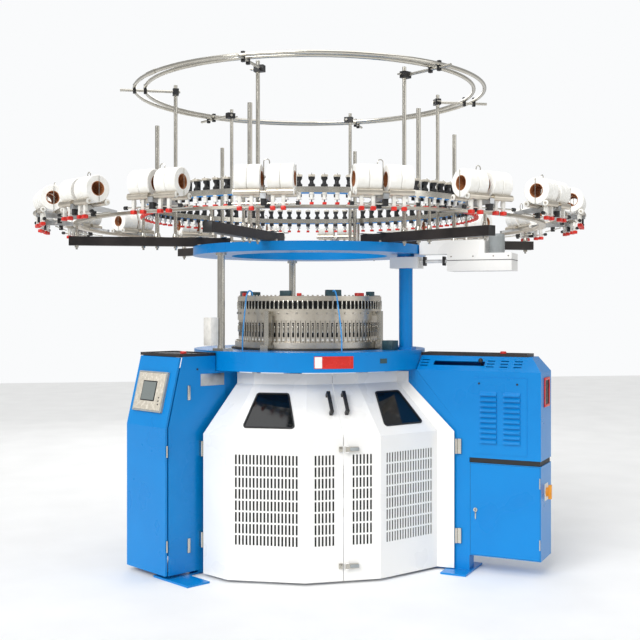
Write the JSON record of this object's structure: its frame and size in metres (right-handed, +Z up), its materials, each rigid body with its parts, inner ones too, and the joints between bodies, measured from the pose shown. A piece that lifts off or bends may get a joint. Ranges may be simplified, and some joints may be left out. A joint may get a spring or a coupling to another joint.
{
  "type": "circular knitting machine",
  "caption": "Circular knitting machine: round bed on three legs, needle cylinder, slotted swing gates, side cabinets, and overhead rings of feeders and elastane packages.",
  "frame": {"origin": "on the floor, on the machine's vertical axis, at the centre of the three anchor holes in its feet", "axes": "+Z up along the cylinder's axis, -Y towards the front where the gates open, +X towards the drive housing's side"},
  "size_m": [3.0976, 3.0984, 2.672],
  "materials": {
    "blue_paint": "gloss",
    "white_paint": "gloss",
    "black_paint": "semi-gloss",
    "chrome": "polished",
    "steel": "ground",
    "cast_iron": "oiled",
    "yarn": "wound yarn",
    "cardboard": "matte",
    "black_plastic": "moulded",
    "grey_plastic": "moulded",
    "red_plastic": "moulded",
    "orange_plastic": "moulded",
    "blue_hose": "extruded",
    "tinted_acrylic": "polished",
    "cloth": "knitted"
  },
  "bodies": {
    "machine": {"air_hoses": "blue_hose", "base_ring": "steel", "bed_table": "blue_paint", "cabinet_carcass": "blue_paint", "cam_boxes": "steel", "cam_ring": "steel", "drive_housing": "blue_paint", "drive_motor": "cast_iron", "elastane_packages": "yarn", "elastane_ring": "steel", "elastane_rollers": "grey_plastic", "electrical_box": "blue_paint", "feed_wheels": "grey_plastic", "feeder_bodies": "black_plastic", "feeder_ring": "chrome", "floor_feet": "blue_paint", "gate_hinges": "chrome", "left_column": "chrome", "left_leg": "blue_paint", "louver_panel": "blue_paint", "overhead_drive": "white_paint", "overhead_motor": "grey_plastic", "package_cores": "cardboard", "rear_column": "chrome", "rear_leg": "blue_paint", "right_column": "blue_paint", "right_leg": "blue_paint", "ring_brackets": "chrome", "ring_clamps": "black_plastic", "ring_posts": "chrome", "ring_rods": "chrome", "slotted_cover": "blue_paint", "spider_arms": "black_paint", "support_posts": "chrome", "tool_trays": "black_paint", "top_ring_plate": "blue_paint", "tube_rings": "chrome", "unit_brackets": "grey_plastic", "yarn_guide_ring": "steel"},
    "gate_left": {"gate_left": "white_paint", "window_left": "tinted_acrylic", "handle_left": "black_plastic"},
    "gate_right": {"gate_right": "white_paint", "window_right": "tinted_acrylic", "handle_right": "black_plastic"},
    "latch_upper": {"latch_upper": "chrome"},
    "latch_lower": {"latch_lower": "chrome"},
    "cabinet_door": {"cabinet_door": "blue_paint", "control_panel": "grey_plastic"},
    "electrical_door": {"electrical_door": "blue_paint"},
    "main_switch": {"main_switch": "orange_plastic"},
    "stop_button_left": {"stop_button_left": "red_plastic"},
    "stop_button_right": {"stop_button_right": "red_plastic"},
    "shift_lever": {"shift_lever": "black_plastic"},
    "rotor": {"needle_cylinder": "steel", "ring_gear": "steel", "take_down_frame": "steel"},
    "draw_roller": {"draw_roller": "steel"},
    "cloth_roll": {"cloth_roll": "cloth"},
    "drive_pinion": {"drive_pinion": "steel"}
  },
  "joints": [
    {"name": "gate_left_swing", "type": "hinge", "parent": "machine", "child": "gate_left", "pos_m": [-0.65193, -0.42824, 0.5], "axis": [0, 0, -1], "range_deg": [0, 85]},
    {"name": "gate_right_swing", "type": "hinge", "parent": "machine", "child": "gate_right", "pos_m": [0.70049, -0.56703, 0.5], "axis": [0, 0, 1], "range_deg": [0, 95]},
    {"name": "latch_upper_turn", "type": "hinge", "parent": "gate_right", "child": "latch_upper", "pos_m": [0.06709, -0.7301, 0.69], "axis": [0, 0, -1], "range_deg": [0, 110]},
    {"name": "latch_lower_turn", "type": "hinge", "parent": "gate_right", "child": "latch_lower", "pos_m": [0.06709, -0.7301, 0.092], "axis": [0, 0, -1], "range_deg": [0, 110]},
    {"name": "cabinet_door_swing", "type": "hinge", "parent": "machine", "child": "cabinet_door", "pos_m": [-0.83869, -0.5246, 0.6], "axis": [0, 0, 1], "range_deg": [0, 110]},
    {"name": "electrical_door_swing", "type": "hinge", "parent": "machine", "child": "electrical_door", "pos_m": [1.07252, -0.81631, 0.34], "axis": [0, 0, 1], "range_deg": [0, 110]},
    {"name": "main_switch_turn", "type": "hinge", "parent": "machine", "child": "main_switch", "pos_m": [1.14162, -0.73055, 0.44], "axis": [0.809, -0.5878, 0], "range_deg": [0, 90]},
    {"name": "stop_left_push", "type": "slide", "parent": "machine", "child": "stop_button_left", "axis": [0, 0, -1], "range_m": [0, 0.005], "stiffness_N_per_m": 1500, "springref_m": -0.001},
    {"name": "stop_right_push", "type": "slide", "parent": "machine", "child": "stop_button_right", "axis": [0, 0, -1], "range_m": [0, 0.005], "stiffness_N_per_m": 1500, "springref_m": -0.001},
    {"name": "shift_lever_turn", "type": "hinge", "parent": "machine", "child": "shift_lever", "pos_m": [0.84505, -0.57562, 1.0915], "axis": [0.4407, 0.6066, 0.6616], "range_deg": [-45, 10]},
    {"name": "cylinder_turn", "type": "hinge", "parent": "machine", "child": "rotor", "pos_m": [0, 0, 1.2], "axis": [0, 0, 1], "continuous": true},
    {"name": "pinion_turn", "type": "hinge", "parent": "machine", "child": "drive_pinion", "pos_m": [0.51702, -0.09116, 1.1], "axis": [0, 0, 1], "continuous": true},
    {"name": "draw_roller_turn", "type": "hinge", "parent": "rotor", "child": "draw_roller", "pos_m": [0, 0, 0.64], "axis": [1, 0, 0], "continuous": true},
    {"name": "cloth_roll_turn", "type": "hinge", "parent": "rotor", "child": "cloth_roll", "pos_m": [0, 0, 0.4], "axis": [1, 0, 0], "continuous": true}
  ],
  "couplings": [
    {"joint": "pinion_turn", "follows": "cylinder_turn", "ratio": -6},
    {"joint": "draw_roller_turn", "follows": "cylinder_turn", "ratio": 0.35},
    {"joint": "cloth_roll_turn", "follows": "cylinder_turn", "ratio": -0.12526}
  ]
}
